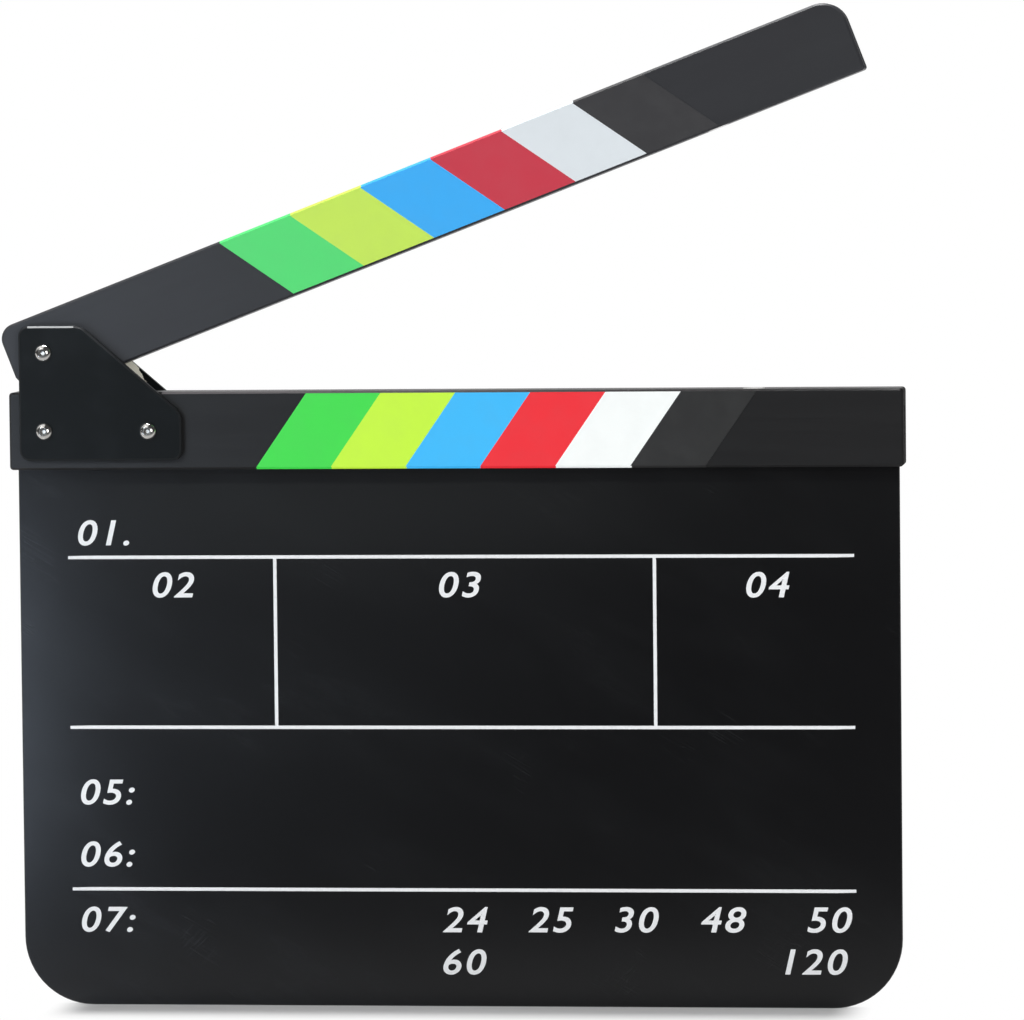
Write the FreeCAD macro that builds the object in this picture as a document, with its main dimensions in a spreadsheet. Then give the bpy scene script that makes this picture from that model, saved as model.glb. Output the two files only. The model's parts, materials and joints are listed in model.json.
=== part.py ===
# Film clapperboard: a slate sheet hung in a grooved bar, and a clap stick hinged over the bar
# between two plates. X runs along the bar, -Y is the side that is written on and +Z is up.
# The origin is the middle of the slate's bottom edge. Millimetres and degrees.
import FreeCAD, Part
import math
import os
from types import SimpleNamespace

import Sketcher

driving_sizes = {
    # slate sheet: its side edges stop short of the bar's ends
    "slate_height": 181.0,
    "slate_inset": 1.8,
    "slate_thickness": 3.0,
    "slate_corner_radius": 23.0,
    "slate_bevel": 0.3,
    # lower bar: a groove from below takes the sheet, up to a solid web
    "bar_length": 300.0,
    "bar_height": 26.0,
    "bar_thickness": 15.0,
    "bar_end_radius": 1.2,
    "bar_bevel": 0.7,
    "groove_web": 6.0,
    "groove_clearance": 0.1,
    # clap stick: pivoted on its middle line, its heel rounded about the pivot
    "stick_overhang": 2.8,
    "stick_width": 26.0,
    "stick_corner_radius": 8.4,
    "stick_tip_radius": 1.2,
    "heel_corner_radius": 5.2,
    "stick_bevel": 0.7,
    "heel_setback": 0.7,
    "closed_gap": 0.3,
    "open_angle": 21.0,
    # hinge plates: margins are from the screw axes to the plate's edges
    "plate_thickness": 2.5,
    "plate_left_margin": 8.4,
    "plate_top_margin": 9.0,
    "plate_bottom_margin": 9.8,
    "plate_right_margin": 11.2,
    "plate_top_length": 21.0,
    "plate_nose_height": 15.9,
    "plate_corner_radius": 3.4,
    "plate_slant_radius": 6.0,
    "plate_bevel": 0.6,
    "fixing_spacing": 35.2,
    # button-head socket screws
    "screw_diameter": 3.0,
    "screw_clearance": 0.1,
    "screw_tail": 0.5,
    "screw_tip_bevel": 0.4,
    "head_diameter": 5.7,
    "head_height": 1.65,
    "head_rim": 0.35,
    "head_flat_diameter": 2.8,
    "socket_across": 2.0,
    "socket_depth": 1.1,
    # plain washers and lock nuts
    "washer_diameter": 7.0,
    "washer_thickness": 0.5,
    "nut_across": 5.5,
    "nut_hex_height": 2.6,
    "nut_collar_diameter": 4.9,
    "nut_collar_height": 1.4,
    "nut_bevel": 0.35,
    "thread_clearance": 0.02,
    # running parts of the pivot
    "bush_wall": 1.0,
    "bush_clearance": 0.05,
    "press_clearance": 0.02,
    "friction_washer_diameter": 13.0,
    "friction_washer_thickness": 0.45,
    "side_play": 0.05,
    # magnets that snap the stick shut
    "magnet_diameter": 8.0,
    "magnet_thickness": 3.0,
    "magnet_bevel": 0.3,
    "magnet_inset": 50.0,
    # film stripes: places are along each bar's middle line
    "film_thickness": 0.15,
    "bar_stripe_start": 92.2,
    "bar_stripe_margin": 57.1,
    "stick_stripe_start": 89.7,
    "stick_stripe_margin": 60.5,
    "stripe_lean_share": 0.69,
}
stripe_colours = ["green", "lime", "blue", "red", "white", "grey"]
near = 1e-4  # two edges this close are in one place

doc = FreeCAD.newDocument("clapperboard")
sheet = doc.addObject("Spreadsheet::Sheet", "sizes")
for row, (name, value) in enumerate(driving_sizes.items(), start=1):
    sheet.set(f"A{row}", name)
    sheet.set(f"B{row}", str(value))
    sheet.setAlias(f"B{row}", name)
doc.recompute()


class Size:
    """A length kept both as a number and as the formula that the sheet works it out from."""

    def __init__(self, value, formula):
        self.value = value
        self.formula = formula

    def __add__(self, other):
        other = as_size(other)
        return Size(self.value + other.value, f"({self.formula} + {other.formula})")

    def __sub__(self, other):
        other = as_size(other)
        return Size(self.value - other.value, f"({self.formula} - {other.formula})")

    def __mul__(self, other):
        other = as_size(other)
        return Size(self.value * other.value, f"({self.formula} * {other.formula})")

    def __truediv__(self, other):
        other = as_size(other)
        return Size(self.value / other.value, f"({self.formula} / {other.formula})")

    def __neg__(self):
        return Size(-self.value, f"(0 - {self.formula})")


def as_size(item):
    return item if isinstance(item, Size) else Size(float(item), repr(float(item)))


def square_root(size):
    return Size(math.sqrt(size.value), f"sqrt({size.formula})")


cell = SimpleNamespace(**{name: Size(value, f"sizes.{name}") for name, value in driving_sizes.items()})
parts = {}


# Sketches and features


def new_part(label):
    body = doc.addObject("PartDesign::Body", label)
    body.Label = label
    parts[label] = body
    return body


def new_sketch(body, plane, name, offset=None):
    sketch = body.newObject("Sketcher::SketchObject", f"{body.Label}_{name}")
    support = [feature for feature in body.Origin.OriginFeatures if feature.Role == plane]
    sketch.AttachmentSupport = [(support[0], "")]
    sketch.MapMode = "FlatFace"
    if offset is not None:
        sketch.setExpression("AttachmentOffset.Base.z", offset.formula)
    return sketch


def constrain(sketch, size, kind, *where):
    index = sketch.addConstraint(Sketcher.Constraint(kind, *where, size.value))
    sketch.setExpression(f"Constraints[{index}]", size.formula)


def hold_point(sketch, geometry, point, x, y):
    constrain(sketch, as_size(x), "DistanceX", -1, 1, geometry, point)
    constrain(sketch, as_size(y), "DistanceY", -1, 1, geometry, point)


def draw_circle(sketch, radius, x=0, y=0):
    centre = FreeCAD.Vector(as_size(x).value, as_size(y).value)
    index = sketch.addGeometry(Part.Circle(centre, FreeCAD.Vector(0, 0, 1), radius.value))
    hold_point(sketch, index, 3, x, y)
    constrain(sketch, radius, "Radius", index)


def draw_outline(sketch, corners, arcs=None):
    # Closed outline, anticlockwise. arcs gives the radius of each side that bulges outwards.
    arcs = arcs or {}
    points = [FreeCAD.Vector(as_size(x).value, as_size(y).value) for x, y in corners]
    count = len(points)
    for side, start in enumerate(points):
        end = points[(side + 1) % count]
        if side in arcs:
            sketch.addGeometry(arc_between(start, end, arcs[side].value))
        else:
            sketch.addGeometry(Part.LineSegment(start, end))
    for side in range(count):
        sketch.addConstraint(Sketcher.Constraint("Coincident", side, 2, (side + 1) % count, 1))
    for side, (x, y) in enumerate(corners):
        hold_point(sketch, side, 1, x, y)
    for side, radius in arcs.items():
        constrain(sketch, radius, "Radius", side)


def arc_between(start, end, radius):
    # Anticlockwise arc whose centre lies to the left of the way from start to end.
    chord = end - start
    left = FreeCAD.Vector(-chord.y, chord.x).normalize()
    rise = math.sqrt(max(radius ** 2 - (chord.Length / 2) ** 2, 0))
    centre = (start + end) / 2 + left * rise
    angles = [math.atan2(p.y - centre.y, p.x - centre.x) for p in (start, end)]
    return Part.ArcOfCircle(Part.Circle(centre, FreeCAD.Vector(0, 0, 1), radius), *angles)


def pad(body, sketch, length, side="One side", reverse=False):
    feature = body.newObject("PartDesign::Pad", f"{sketch.Label}_pad")
    feature.Profile = sketch
    feature.SideType = side
    feature.Reversed = reverse
    feature.setExpression("Length", length.formula)
    doc.recompute()


def pocket(body, sketch, depth=None, reverse=False):
    # No depth cuts right through, both ways from the sketch.
    before = body.Shape.Volume
    feature = body.newObject("PartDesign::Pocket", f"{sketch.Label}_pocket")
    feature.Profile = sketch
    feature.Reversed = reverse
    if depth is None:
        feature.Type = "ThroughAll"
        feature.SideType = "Symmetric"
    else:
        feature.setExpression("Length", depth.formula)
    doc.recompute()
    if not body.Shape.Volume < before:
        raise ValueError(f"{sketch.Label} cuts nothing")


def turn(body, sketch, kind="PartDesign::Revolution"):
    # A full turn about the sketch's upright axis.
    feature = body.newObject(kind, f"{sketch.Label}_turn")
    feature.Profile = sketch
    feature.ReferenceAxis = (sketch, ["V_Axis"])
    feature.Angle = 360
    doc.recompute()


def edges_where(body, test):
    return [f"Edge{i}" for i, edge in enumerate(body.Tip.Shape.Edges, start=1) if test(edge)]


def soften(body, edges, size, kind="Fillet"):
    if not edges:
        raise ValueError(f"{body.Label} has no such edge")
    base = body.Tip
    feature = body.newObject(f"PartDesign::{kind}", f"{body.Label}_{kind.lower()}")
    feature.Base = (base, edges)
    feature.setExpression("Radius" if kind == "Fillet" else "Size", size.formula)
    doc.recompute()


def runs_through(edge):
    # The edge runs straight from front to back.
    ends = [vertex.Point for vertex in edge.Vertexes]
    return len(ends) == 2 and abs(ends[0].x - ends[1].x) < near and abs(ends[0].z - ends[1].z) < near


def corners_at(body, places):
    # The edges from front to back at these places of the outline.
    def test(edge):
        spot = edge.Vertexes[0].Point
        here = [abs(spot.x - x.value) < near and abs(spot.z - z.value) < near for x, z in places]
        return runs_through(edge) and any(here)
    return edges_where(body, test)


def in_face(*depths):
    # The whole edge lies in one of the planes across Y.
    def test(edge):
        box = edge.BoundBox
        return any(abs(box.YMin - y.value) < near and abs(box.YMax - y.value) < near for y in depths)
    return test


def place(body, x, y, z, angle=None):
    # An angle lifts the piece's +X end about its own origin.
    if angle is not None:
        turned = FreeCAD.Rotation(FreeCAD.Vector(0, -1, 0), angle.value)
        body.Placement = FreeCAD.Placement(FreeCAD.Vector(), turned)
        body.setExpression("Placement.Rotation.Angle", angle.formula)
    for axis, size in zip("xyz", (x, y, z)):
        body.setExpression(f"Placement.Base.{axis}", as_size(size).formula)
    doc.recompute()


def place_on_bar(body):
    place(body, 0, 0, cell.slate_height)


def place_on_stick(body):
    place(body, pivot_x, 0, pivot_z, cell.open_angle)


# Sizes that follow from the driving ones

half_bar = cell.bar_length / 2
half_stick = cell.stick_width / 2
stick_tail = half_stick - cell.heel_setback
stick_nose = cell.bar_length + cell.stick_overhang - stick_tail
stick_thickness = cell.bar_thickness - (cell.friction_washer_thickness + cell.side_play) * 2
bar_face = cell.bar_thickness / 2
plate_face = bar_face + cell.plate_thickness
pivot_x = stick_tail - half_bar
pivot_z = cell.slate_height + cell.bar_height + cell.closed_gap + half_stick
fixing_z = cell.slate_height + cell.bar_height / 2
pivot_rise = pivot_z - fixing_z
screw_hole_radius = cell.screw_diameter / 2 + cell.screw_clearance
bush_bore_radius = cell.screw_diameter / 2 + cell.bush_clearance
bush_radius = bush_bore_radius + cell.bush_wall
magnet_x = half_bar - cell.magnet_inset
fixing_xs = [pivot_x, pivot_x + cell.fixing_spacing]
screw_axes = [("pivot", pivot_x, pivot_z), ("left_fixing", fixing_xs[0], fixing_z),
              ("right_fixing", fixing_xs[1], fixing_z)]


def make_slate():
    body = new_part("slate_board")
    half_width = half_bar - cell.slate_inset
    tongue_top = cell.slate_height + cell.bar_height - cell.groove_web - cell.groove_clearance
    sketch = new_sketch(body, "XZ_Plane", "outline")
    low = as_size(0)
    draw_outline(sketch, [(-half_width, low), (half_width, low),
                          (half_width, tongue_top), (-half_width, tongue_top)])
    pad(body, sketch, cell.slate_thickness, side="Symmetric")
    soften(body, corners_at(body, [(-half_width, low), (half_width, low)]), cell.slate_corner_radius)
    half_thick = cell.slate_thickness / 2
    soften(body, edges_where(body, in_face(-half_thick, half_thick)), cell.slate_bevel, kind="Chamfer")
    holes = new_sketch(body, "XZ_Plane", "screw_holes")
    for x in fixing_xs:
        draw_circle(holes, screw_hole_radius, x, fixing_z)
    pocket(body, holes)


def make_bar():
    body = new_part("lower_bar")
    groove = cell.slate_thickness / 2 + cell.groove_clearance
    groove_top = cell.bar_height - cell.groove_web
    section = new_sketch(body, "YZ_Plane", "section")
    draw_outline(section, [(groove, 0), (bar_face, 0), (bar_face, cell.bar_height),
                           (-bar_face, cell.bar_height), (-bar_face, 0), (-groove, 0),
                           (-groove, groove_top), (groove, groove_top)])
    pad(body, section, cell.bar_length, side="Symmetric")
    ends = [(x, z) for x in (-half_bar, half_bar) for z in (as_size(0), cell.bar_height)]
    soften(body, corners_at(body, ends), cell.bar_end_radius)
    soften(body, edges_where(body, in_face(-bar_face, bar_face)), cell.bar_bevel, kind="Chamfer")
    holes = new_sketch(body, "XZ_Plane", "screw_holes")
    for x in fixing_xs:
        draw_circle(holes, screw_hole_radius, x, cell.bar_height / 2)
    pocket(body, holes)
    seat = new_sketch(body, "XY_Plane", "magnet_seat", cell.bar_height)
    draw_circle(seat, cell.magnet_diameter / 2 + cell.press_clearance, magnet_x)
    pocket(body, seat, cell.magnet_thickness)
    place_on_bar(body)


def make_stick():
    # The heel is an arc about the pivot, so it clears the bar at every angle.
    body = new_part("upper_stick")
    heel_drop = square_root(cell.heel_setback * (cell.stick_width - cell.heel_setback))
    half_thick = stick_thickness / 2
    sketch = new_sketch(body, "XZ_Plane", "outline")
    draw_outline(sketch, [(0, -half_stick), (stick_nose, -half_stick), (stick_nose, half_stick),
                          (-stick_tail, half_stick), (-stick_tail, -heel_drop)], {4: half_stick})
    pad(body, sketch, stick_thickness, side="Symmetric")
    soften(body, corners_at(body, [(stick_nose, half_stick)]), cell.stick_corner_radius)
    soften(body, corners_at(body, [(-stick_tail, half_stick)]), cell.heel_corner_radius)
    lower = [(stick_nose, -half_stick), (-stick_tail, -heel_drop)]
    soften(body, corners_at(body, lower), cell.stick_tip_radius)
    soften(body, edges_where(body, in_face(-half_thick, half_thick)), cell.stick_bevel, kind="Chamfer")
    bore = new_sketch(body, "XZ_Plane", "bush_bore")
    draw_circle(bore, bush_radius + cell.press_clearance)
    pocket(body, bore)
    seat = new_sketch(body, "XY_Plane", "magnet_seat", -half_stick)
    draw_circle(seat, cell.magnet_diameter / 2 + cell.press_clearance, magnet_x - pivot_x)
    pocket(body, seat, cell.magnet_thickness, reverse=True)
    place_on_stick(body)


def make_plate(label, to_front):
    # Five-sided plate about the left fixing screw, its outer rim bevelled.
    body = new_part(label)
    inner, outer = (bar_face, plate_face) if to_front else (-bar_face, -plate_face)
    left, low = -cell.plate_left_margin, -cell.plate_bottom_margin
    right = cell.fixing_spacing + cell.plate_right_margin
    top = pivot_rise + cell.plate_top_margin
    slant_x = left + cell.plate_top_length
    slant_z = low + cell.plate_nose_height
    sketch = new_sketch(body, "XZ_Plane", "outline", inner)
    draw_outline(sketch, [(left, low), (right, low), (right, slant_z), (slant_x, top), (left, top)])
    pad(body, sketch, cell.plate_thickness, reverse=not to_front)
    soften(body, corners_at(body, [(left, low), (right, low), (left, top)]), cell.plate_corner_radius)
    soften(body, corners_at(body, [(right, slant_z), (slant_x, top)]), cell.plate_slant_radius)
    soften(body, edges_where(body, in_face(-outer)), cell.plate_bevel, kind="Chamfer")
    holes = new_sketch(body, "XZ_Plane", "screw_holes")
    for x, z in ((0, pivot_rise), (0, 0), (cell.fixing_spacing, 0)):
        draw_circle(holes, screw_hole_radius, x, z)
    pocket(body, holes)
    place(body, pivot_x, 0, fixing_z)


def draw_hexagon(sketch, across):
    radius = across / math.sqrt(3)
    turns = [2 * math.pi * side / 6 for side in range(6)]
    draw_outline(sketch, [(radius * math.cos(angle), radius * math.sin(angle)) for angle in turns])


def make_screw(label, x, z):
    # Domed head to the front, shank to the back, hexagon socket in the dome.
    body = new_part(label)
    shank = cell.screw_diameter / 2
    rim = cell.head_diameter / 2
    flat = cell.head_flat_diameter / 2
    nut_height = cell.nut_hex_height + cell.nut_collar_height
    length = plate_face * 2 + cell.washer_thickness + nut_height + cell.screw_tail
    dome = (rim * rim + cell.head_height * cell.head_height) / (cell.head_height * 2)
    profile = new_sketch(body, "XY_Plane", "profile")
    draw_outline(profile, [(0, -cell.head_height), (flat, -cell.head_height), (rim, -cell.head_rim),
                           (rim, 0), (shank, 0), (shank, length - cell.screw_tip_bevel),
                           (shank - cell.screw_tip_bevel, length), (0, length)], {1: dome})
    turn(body, profile)
    socket = new_sketch(body, "XZ_Plane", "socket", cell.head_height)
    draw_hexagon(socket, cell.socket_across)
    pocket(body, socket, cell.socket_depth)
    place(body, x, -plate_face, z)


def make_ring(label, outer, inner, thickness, x, y, z):
    # Flat ring from y to the back.
    body = new_part(label)
    sketch = new_sketch(body, "XZ_Plane", "rings")
    draw_circle(sketch, outer)
    draw_circle(sketch, inner)
    pad(body, sketch, thickness, reverse=True)
    place(body, x, y, z)


def make_lock_nut(label, x, z):
    # Hexagon with bevelled corners and a round collar behind it.
    body = new_part(label)
    height = cell.nut_hex_height + cell.nut_collar_height
    hexagon = new_sketch(body, "XZ_Plane", "hexagon")
    draw_hexagon(hexagon, cell.nut_across)
    pad(body, hexagon, cell.nut_hex_height, reverse=True)
    corner = cell.nut_across / math.sqrt(3)
    outside = corner + cell.nut_bevel
    bevel = new_sketch(body, "XY_Plane", "bevel")
    draw_outline(bevel, [(corner - cell.nut_bevel, cell.nut_hex_height),
                         (outside, cell.nut_hex_height - cell.nut_bevel * 2), (outside, cell.nut_hex_height)])
    turn(body, bevel, "PartDesign::Groove")
    collar = new_sketch(body, "XZ_Plane", "collar")
    draw_circle(collar, cell.nut_collar_diameter / 2)
    pad(body, collar, height, reverse=True)
    soften(body, edges_where(body, in_face(height)), cell.nut_bevel, kind="Chamfer")
    bore = new_sketch(body, "XZ_Plane", "bore")
    draw_circle(bore, cell.screw_diameter / 2 + cell.thread_clearance)
    pocket(body, bore)
    place(body, x, plate_face + cell.washer_thickness, z)


def make_magnet(label, x, low):
    # Bevelled disc that stands on the height low.
    body = new_part(label)
    disc = new_sketch(body, "XY_Plane", "disc", low)
    draw_circle(disc, cell.magnet_diameter / 2, x)
    pad(body, disc, cell.magnet_thickness)
    rims = edges_where(body, lambda edge: isinstance(edge.Curve, Part.Circle))
    soften(body, rims, cell.magnet_bevel, kind="Chamfer")
    return body


def make_stripes(prefix, place_stripe, face, middle, half_height, start, pitch, lean):
    # Leaning four-sided pieces of film, side by side. start and pitch are along the middle line.
    shift = half_height * lean
    low, high = middle - half_height, middle + half_height
    for count, colour in enumerate(stripe_colours):
        body = new_part(f"{prefix}_stripe_{colour}")
        left = start + pitch * count
        right = left + pitch
        sketch = new_sketch(body, "XZ_Plane", "outline", face)
        draw_outline(sketch, [(left - shift, low), (right - shift, low),
                              (right + shift, high), (left + shift, high)])
        pad(body, sketch, cell.film_thickness)
        place_stripe(body)


make_slate()
make_bar()
make_stick()
make_plate("front_hinge_plate", True)
make_plate("rear_hinge_plate", False)

for name, x, z in screw_axes:
    make_screw(f"{name}_screw", x, z)
    make_ring(f"{name}_washer", cell.washer_diameter / 2, screw_hole_radius,
              cell.washer_thickness, x, plate_face, z)
    make_lock_nut(f"{name}_lock_nut", x, z)

bush_front = -stick_thickness / 2
make_ring("pivot_bush", bush_radius, bush_bore_radius, stick_thickness, pivot_x, bush_front, pivot_z)
for name, y in (("front", -bar_face), ("rear", bar_face - cell.friction_washer_thickness)):
    make_ring(f"{name}_friction_washer", cell.friction_washer_diameter / 2, screw_hole_radius,
              cell.friction_washer_thickness, pivot_x, y, pivot_z)

place_on_bar(make_magnet("lower_magnet", magnet_x, cell.bar_height - cell.magnet_thickness))
place_on_stick(make_magnet("upper_magnet", magnet_x - pivot_x, -half_stick))

bar_run = cell.bar_length - cell.bar_stripe_start - cell.bar_stripe_margin
bar_middle = cell.bar_height / 2
make_stripes("lower", place_on_bar, bar_face, bar_middle, bar_middle - cell.bar_bevel,
             cell.bar_stripe_start - half_bar, bar_run / len(stripe_colours), cell.stripe_lean_share)
stick_run = cell.bar_length + cell.stick_overhang - cell.stick_stripe_start - cell.stick_stripe_margin
make_stripes("upper", place_on_stick, stick_thickness / 2, as_size(0), half_stick - cell.stick_bevel,
             cell.stick_stripe_start - stick_tail, stick_run / len(stripe_colours), -cell.stripe_lean_share)

doc.recompute()
for item in doc.Objects:
    if "Invalid" in item.State or "Error" in item.State:
        raise ValueError(f"{item.Label} failed: {item.State}")
for label, body in parts.items():
    if body.Shape.isNull() or not body.Shape.isValid() or len(body.Shape.Solids) != 1:
        raise ValueError(f"{label} is not one valid solid")
os.makedirs("parts", exist_ok=True)
for label, body in parts.items():
    body.Shape.exportStep(f"parts/{label}.step")
    print(label, round(body.Shape.Volume, 2))
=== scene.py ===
import json
import math

import bmesh
import bpy
import numpy as np
from mathutils import Matrix, Vector


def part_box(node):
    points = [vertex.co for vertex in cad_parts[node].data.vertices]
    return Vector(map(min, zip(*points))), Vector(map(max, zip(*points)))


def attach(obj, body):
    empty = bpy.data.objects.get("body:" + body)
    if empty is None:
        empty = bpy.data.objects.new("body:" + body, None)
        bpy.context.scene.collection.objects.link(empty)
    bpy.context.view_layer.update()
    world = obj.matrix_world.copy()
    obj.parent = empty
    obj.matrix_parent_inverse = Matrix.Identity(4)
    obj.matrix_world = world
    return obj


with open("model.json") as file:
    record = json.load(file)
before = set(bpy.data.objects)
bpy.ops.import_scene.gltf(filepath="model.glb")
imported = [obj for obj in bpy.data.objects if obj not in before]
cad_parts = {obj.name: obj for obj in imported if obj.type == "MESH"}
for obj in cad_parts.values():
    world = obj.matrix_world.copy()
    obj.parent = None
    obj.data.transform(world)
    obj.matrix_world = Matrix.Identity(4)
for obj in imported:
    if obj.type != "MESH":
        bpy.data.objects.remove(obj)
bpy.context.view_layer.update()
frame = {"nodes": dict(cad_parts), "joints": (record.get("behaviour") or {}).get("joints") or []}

# Clapperboard: finishes for its solids, printed rules and numbers, lock nut rings, light and camera.
# Metres in the part's own frame. Patterns and print are worked out in millimetres.
# In the looks, a Noise is (cells in a unit of its vector, detail, roughness), a From is the two levels of
# a smooth step, a Share is how much of a colour is laid on, and scratches and scuffs are (length, width,
# lean, fill).
mm = 0.001
scene = bpy.context.scene
scene.view_settings.view_transform = "Standard"
hinge = frame["joints"][0]
pivot = Vector(hinge["pos_m"])
openAngle = -math.radians(hinge["range_deg"][0])  # the stick is shut at the low end of its range
print("frame loaded:", len(frame["nodes"]), "nodes")


def srgb(red, green, blue):
    # linear share of each 0 to 255 channel: ((c + 0.055) / 1.055) ** 2.4 above a small straight foot
    shares = np.array([red, green, blue]) / 255
    linear = np.where(shares > 0.04045, ((shares + 0.055) / 1.055) ** 2.4, shares / 12.92)
    return (*linear.tolist(), 1.0)


def faded(colour, gain, lift=0.0):
    # colour with each channel times gain, plus lift
    return tuple(channel * gain + lift for channel in colour[:3]) + (1.0,)


class Wire:
    # one socket of a node tree: sums on it add Math nodes, and node() adds any other kind
    def __init__(self, tree, socket=None):
        self.tree = tree
        self.socket = socket

    def fill(self, node, inputs):
        for name, value in inputs.items():
            if isinstance(value, Wire):
                self.tree.links.new(value.socket, node.inputs[name])
            else:
                node.inputs[name].default_value = value

    def node(self, kind, settings=None, inputs=None, out=0):
        made = self.tree.nodes.new(kind)
        for name, value in (settings or {}).items():
            if name == "stops":
                setStops(made.color_ramp, value)
            else:
                setattr(made, name, value)
        self.fill(made, inputs or {})
        return Wire(self.tree, made.outputs[out])

    def maths(self, operation, first, second=0.0):
        return self.node("ShaderNodeMath", {"operation": operation}, {0: first, 1: second})

    def __add__(self, other):
        return self.maths("ADD", self, other)

    def __radd__(self, other):
        return self.maths("ADD", other, self)

    def __sub__(self, other):
        return self.maths("SUBTRACT", self, other)

    def __rsub__(self, other):
        return self.maths("SUBTRACT", other, self)

    def __mul__(self, other):
        return self.maths("MULTIPLY", self, other)

    def __rmul__(self, other):
        return self.maths("MULTIPLY", other, self)

    def __truediv__(self, other):
        return self.maths("DIVIDE", self, other)

    def __rtruediv__(self, other):
        return self.maths("DIVIDE", other, self)

    def __gt__(self, other):
        return self.maths("GREATER_THAN", self, other)

    def __lt__(self, other):
        return self.maths("LESS_THAN", self, other)

    def __abs__(self):
        return self.maths("ABSOLUTE", self)


def setStops(ramp, stops):
    # stops are (place, colour) pairs that hold their colour up to the next one
    ramp.interpolation = "CONSTANT"
    while len(ramp.elements) < len(stops):
        ramp.elements.new(1.0)
    for element, (place, colour) in zip(ramp.elements, stops):
        element.position = place
        element.color = colour


def axes(vector):
    # the three numbers of a vector
    return [vector.node("ShaderNodeSeparateXYZ", None, {"Vector": vector}, out) for out in "XYZ"]


def facing(wire):
    # the three numbers of the surface's normal
    return axes(wire.node("ShaderNodeTexCoord", None, None, "Normal"))


def inMillimetres(wire, centre=(0, 0, 0), turn=0.0):
    # object coordinates from a centre, turned about the hinge's axis and scaled to millimetres
    place = wire.node("ShaderNodeTexCoord", None, None, "Object")
    settings = {"vector_type": "TEXTURE"}
    inputs = {"Vector": place, "Location": centre, "Rotation": (0, -turn, 0), "Scale": (mm, mm, mm)}
    return wire.node("ShaderNodeMapping", settings, inputs, "Vector")


def drawnOut(vector, sizes, lean=0.0):
    # pattern space with its own unit length along each axis, leaned in the plane of the slate
    inputs = {"Vector": vector, "Rotation": (0, lean, 0), "Scale": sizes}
    return vector.node("ShaderNodeMapping", {"vector_type": "TEXTURE"}, inputs, "Vector")


def noise(vector, scale, detail, roughness=0.5):
    # cloudy value about 0.5, with scale cells in one unit of the vector
    inputs = {"Vector": vector, "Scale": scale, "Detail": detail, "Roughness": roughness}
    return vector.node("ShaderNodeTexNoise", None, inputs, "Fac")


def ramped(value, low, high):
    # smooth step from 0 at low to 1 at high
    inputs = {"Value": value, "From Min": low, "From Max": high}
    return value.node("ShaderNodeMapRange", {"interpolation_type": "SMOOTHSTEP"}, inputs, "Result")


def patches(vector, cells, levels):
    # soft patches: a noise that a smooth step takes from 0 to 1 between two levels
    return ramped(noise(vector, *cells), *levels)


def between(value, low, high):
    # 1 where a value lies between low and high, otherwise 0
    return (value > low) * (value < high)


def blended(share, first, second):
    # colour that goes from first to second as share goes from 0 to 1
    return share.node("ShaderNodeMix", {"data_type": "RGBA"}, {0: share, 6: first, 7: second}, 2)


def bumped(height, depth):
    # normal of a surface raised by height times depth, in metres
    inputs = {"Strength": 1.0, "Distance": depth, "Height": height}
    return height.node("ShaderNodeBump", None, inputs, "Normal")


hairlineLook = {"drawnNoise": (1.0, 1.0), "halfWidth": 0.012, "patchNoise": (0.03, 2.0), "patchFade": 0.08}


def hairlines(vector, length, width, lean, fill):
    # thin streaks: the middle of a noise that is drawn out along one way, kept where another noise is high
    drawn = noise(drawnOut(vector, (length, width, width), lean), *hairlineLook["drawnNoise"])
    streak = 1 - ramped(abs(drawn - 0.5), 0.0, hairlineLook["halfWidth"])
    levels = (1 - fill, 1 - fill + hairlineLook["patchFade"])
    return streak * patches(vector, hairlineLook["patchNoise"], levels)


def newFinish(name, build, *values):
    # node material whose Principled sockets come from the build function
    material = bpy.data.materials.new(name)
    material.use_nodes = True
    wire = Wire(material.node_tree)
    wire.fill(material.node_tree.nodes["Principled BSDF"], build(wire, *values))
    return material


def dress(nodeName, material):
    # one finish on a CAD node, in place of any that it has
    frame["nodes"][nodeName].data.materials.clear()
    frame["nodes"][nodeName].data.materials.append(material)


def nodePoints(nodeName, turn=0.0):
    # a node's corners in millimetres, from the pivot and turned back by the opening angle where asked
    mesh = frame["nodes"][nodeName].data
    points = np.empty(len(mesh.vertices) * 3)
    mesh.vertices.foreach_get("co", points)
    points = points.reshape(-1, 3)
    if turn:
        points = (points - np.array(pivot)) @ np.array(Matrix.Rotation(-turn, 3, "Y"))
    return points / mm


def axisPoint(nodeName, share):
    # point on the middle line of a node's box along Y, at a share of the way from its front to its back
    low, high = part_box(nodeName)
    return ((low.x + high.x) / 2, low.y + (high.y - low.y) * share, (low.z + high.z) / 2)


def newPiece(name, points, faces, material, body):
    # mesh object at the origin, with its place in its points, that rides on a body
    mesh = bpy.data.meshes.new(name)
    mesh.from_pydata(points.tolist(), [], faces)
    mesh.validate()
    mesh.materials.append(material)
    piece = bpy.data.objects.new(name, mesh)
    scene.collection.objects.link(piece)
    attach(piece, body)


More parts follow.
